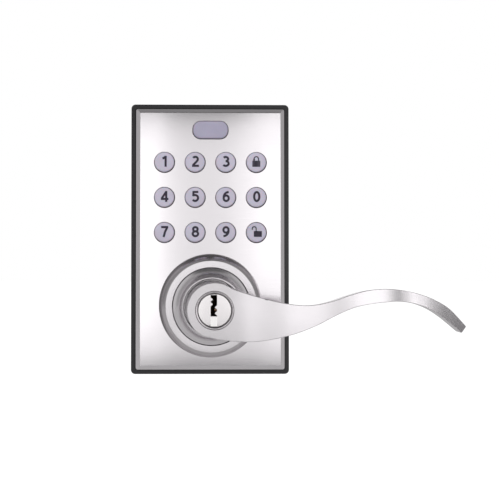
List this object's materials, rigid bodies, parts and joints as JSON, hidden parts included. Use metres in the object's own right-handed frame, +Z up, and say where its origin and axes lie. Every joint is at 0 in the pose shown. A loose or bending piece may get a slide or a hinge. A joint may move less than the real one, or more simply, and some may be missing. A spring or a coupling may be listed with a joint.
{
  "type": "keypad door lock",
  "caption": "Outside unit of a keypad door lock: black back housing, satin nickel plate with round keys, wave-shaped lever with a key cylinder, spindle and clutch behind.",
  "frame": {"origin": "the lever's axis at the door face, where the gasket meets the door", "axes": "+Z up, the front faces -Y, +X to the right seen from the front, +Y along the spindle into the door"},
  "size_m": [0.1512, 0.094, 0.128],
  "materials": {
    "satin_nickel": "satin nickel plate, finely brushed",
    "bright_nickel": "nickel plate, nearly polished",
    "black_shell": "black powder coat, semi-matt",
    "black_rubber": "matt black foam rubber",
    "zinc_plated_steel": "bright zinc plate",
    "dark_steel": "plain dark steel",
    "spring_steel": "drawn wire and stamped spring steel",
    "brass": "turned brass",
    "key_plastic": "translucent grey plastic",
    "silicone": "translucent silicone",
    "board": "green solder mask",
    "black_component": "moulded black component",
    "cream_socket": "moulded connector"
  },
  "bodies": {
    "housing": {"mounting_plate": "zinc_plated_steel", "mounting_post_1": "zinc_plated_steel", "mounting_post_2": "zinc_plated_steel", "plate_screw_1": "zinc_plated_steel", "plate_screw_2": "zinc_plated_steel", "faceplate_screw_1": "zinc_plated_steel", "faceplate_screw_2": "zinc_plated_steel", "faceplate_screw_3": "zinc_plated_steel", "faceplate_screw_4": "zinc_plated_steel", "rose_screw_1": "zinc_plated_steel", "rose_screw_2": "zinc_plated_steel", "rose_screw_3": "zinc_plated_steel", "spring_cassette": "zinc_plated_steel", "motor_bracket": "zinc_plated_steel", "board_screw_1": "zinc_plated_steel", "board_screw_2": "zinc_plated_steel", "clutch_motor": "dark_steel", "return_spring": "spring_steel", "capacitor": "spring_steel", "faceplate": "satin_nickel", "rose_ring": "satin_nickel", "bearing_collar": "satin_nickel", "gasket": "black_rubber", "back_housing": "black_shell", "key_mat": "silicone", "circuit_board": "board", "processor": "black_component", "buzzer": "black_component", "cable_socket": "cream_socket"},
    "lever": {"lever": "satin_nickel", "drive_tube": "zinc_plated_steel", "tube_pin": "dark_steel", "tube_retaining_ring": "spring_steel", "spring_driver": "dark_steel", "cylinder_shell": "bright_nickel", "lever_grub_screw": "dark_steel"},
    "plug": {"cylinder_plug": "bright_nickel", "plug_clip": "spring_steel", "tailpiece": "zinc_plated_steel"},
    "side_pin": {"key_pin": "brass"},
    "spindle": {"spindle": "zinc_plated_steel"},
    "clutch_ring": {"clutch_ring": "dark_steel"},
    "clutch_fork": {"clutch_fork": "zinc_plated_steel"},
    "lead_screw": {"lead_screw": "brass"},
    "key_1": {"key_1": "key_plastic"},
    "key_2": {"key_2": "key_plastic"},
    "key_3": {"key_3": "key_plastic"},
    "key_lock": {"key_lock": "key_plastic"},
    "key_4": {"key_4": "key_plastic"},
    "key_5": {"key_5": "key_plastic"},
    "key_6": {"key_6": "key_plastic"},
    "key_0": {"key_0": "key_plastic"},
    "key_7": {"key_7": "key_plastic"},
    "key_8": {"key_8": "key_plastic"},
    "key_9": {"key_9": "key_plastic"},
    "key_unlock": {"key_unlock": "key_plastic"},
    "wake_key": {"wake_key": "key_plastic"}
  },
  "joints": [
    {"name": "lever_turn", "type": "hinge", "parent": "housing", "child": "lever", "pos_m": [0, 0, 0], "axis": [0, 1, 0], "range_deg": [-50, 50], "stiffness_Nm_per_rad": 3, "springref_deg": -1.72, "deforming": ["return_spring"]},
    {"name": "plug_turn", "type": "hinge", "parent": "lever", "child": "plug", "pos_m": [0, 0, 0], "axis": [0, 1, 0], "range_deg": [-90, 90]},
    {"name": "side_pin_slide", "type": "slide", "parent": "plug", "child": "side_pin", "axis": [1, 0, 0], "range_m": [0, 0.0006], "stiffness_N_per_m": 150, "springref_m": -0.0003},
    {"name": "spindle_turn", "type": "hinge", "parent": "housing", "child": "spindle", "pos_m": [0, 0, 0], "axis": [0, 1, 0], "range_deg": [-50, 50]},
    {"name": "clutch_ring_slide", "type": "slide", "parent": "lever", "child": "clutch_ring", "axis": [0, -1, 0], "range_m": [0, 0.0016]},
    {"name": "clutch_fork_slide", "type": "slide", "parent": "housing", "child": "clutch_fork", "axis": [0, -1, 0], "range_m": [0, 0.0016]},
    {"name": "lead_screw_turn", "type": "hinge", "parent": "housing", "child": "lead_screw", "pos_m": [0, 0, 0.0225], "axis": [0, 1, 0], "range_deg": [0, 720]},
    {"name": "key_1_press", "type": "slide", "parent": "housing", "child": "key_1", "axis": [0, 1, 0], "range_m": [0, 0.001], "stiffness_N_per_m": 800, "springref_m": -0.0005, "deforming": ["key_mat"]},
    {"name": "key_2_press", "type": "slide", "parent": "housing", "child": "key_2", "axis": [0, 1, 0], "range_m": [0, 0.001], "stiffness_N_per_m": 800, "springref_m": -0.0005, "deforming": ["key_mat"]},
    {"name": "key_3_press", "type": "slide", "parent": "housing", "child": "key_3", "axis": [0, 1, 0], "range_m": [0, 0.001], "stiffness_N_per_m": 800, "springref_m": -0.0005, "deforming": ["key_mat"]},
    {"name": "key_lock_press", "type": "slide", "parent": "housing", "child": "key_lock", "axis": [0, 1, 0], "range_m": [0, 0.001], "stiffness_N_per_m": 800, "springref_m": -0.0005, "deforming": ["key_mat"]},
    {"name": "key_4_press", "type": "slide", "parent": "housing", "child": "key_4", "axis": [0, 1, 0], "range_m": [0, 0.001], "stiffness_N_per_m": 800, "springref_m": -0.0005, "deforming": ["key_mat"]},
    {"name": "key_5_press", "type": "slide", "parent": "housing", "child": "key_5", "axis": [0, 1, 0], "range_m": [0, 0.001], "stiffness_N_per_m": 800, "springref_m": -0.0005, "deforming": ["key_mat"]},
    {"name": "key_6_press", "type": "slide", "parent": "housing", "child": "key_6", "axis": [0, 1, 0], "range_m": [0, 0.001], "stiffness_N_per_m": 800, "springref_m": -0.0005, "deforming": ["key_mat"]},
    {"name": "key_0_press", "type": "slide", "parent": "housing", "child": "key_0", "axis": [0, 1, 0], "range_m": [0, 0.001], "stiffness_N_per_m": 800, "springref_m": -0.0005, "deforming": ["key_mat"]},
    {"name": "key_7_press", "type": "slide", "parent": "housing", "child": "key_7", "axis": [0, 1, 0], "range_m": [0, 0.001], "stiffness_N_per_m": 800, "springref_m": -0.0005, "deforming": ["key_mat"]},
    {"name": "key_8_press", "type": "slide", "parent": "housing", "child": "key_8", "axis": [0, 1, 0], "range_m": [0, 0.001], "stiffness_N_per_m": 800, "springref_m": -0.0005, "deforming": ["key_mat"]},
    {"name": "key_9_press", "type": "slide", "parent": "housing", "child": "key_9", "axis": [0, 1, 0], "range_m": [0, 0.001], "stiffness_N_per_m": 800, "springref_m": -0.0005, "deforming": ["key_mat"]},
    {"name": "key_unlock_press", "type": "slide", "parent": "housing", "child": "key_unlock", "axis": [0, 1, 0], "range_m": [0, 0.001], "stiffness_N_per_m": 800, "springref_m": -0.0005, "deforming": ["key_mat"]},
    {"name": "wake_key_press", "type": "slide", "parent": "housing", "child": "wake_key", "axis": [0, 1, 0], "range_m": [0, 0.001], "stiffness_N_per_m": 800, "springref_m": -0.0005, "deforming": ["key_mat"]}
  ],
  "couplings": [
    {"joint": "spindle_turn", "follows": "lever_turn", "ratio": 1},
    {"joint": "clutch_fork_slide", "follows": "clutch_ring_slide", "ratio": 1},
    {"joint": "lead_screw_turn", "follows": "clutch_ring_slide", "rad_per_m": 7850}
  ]
}
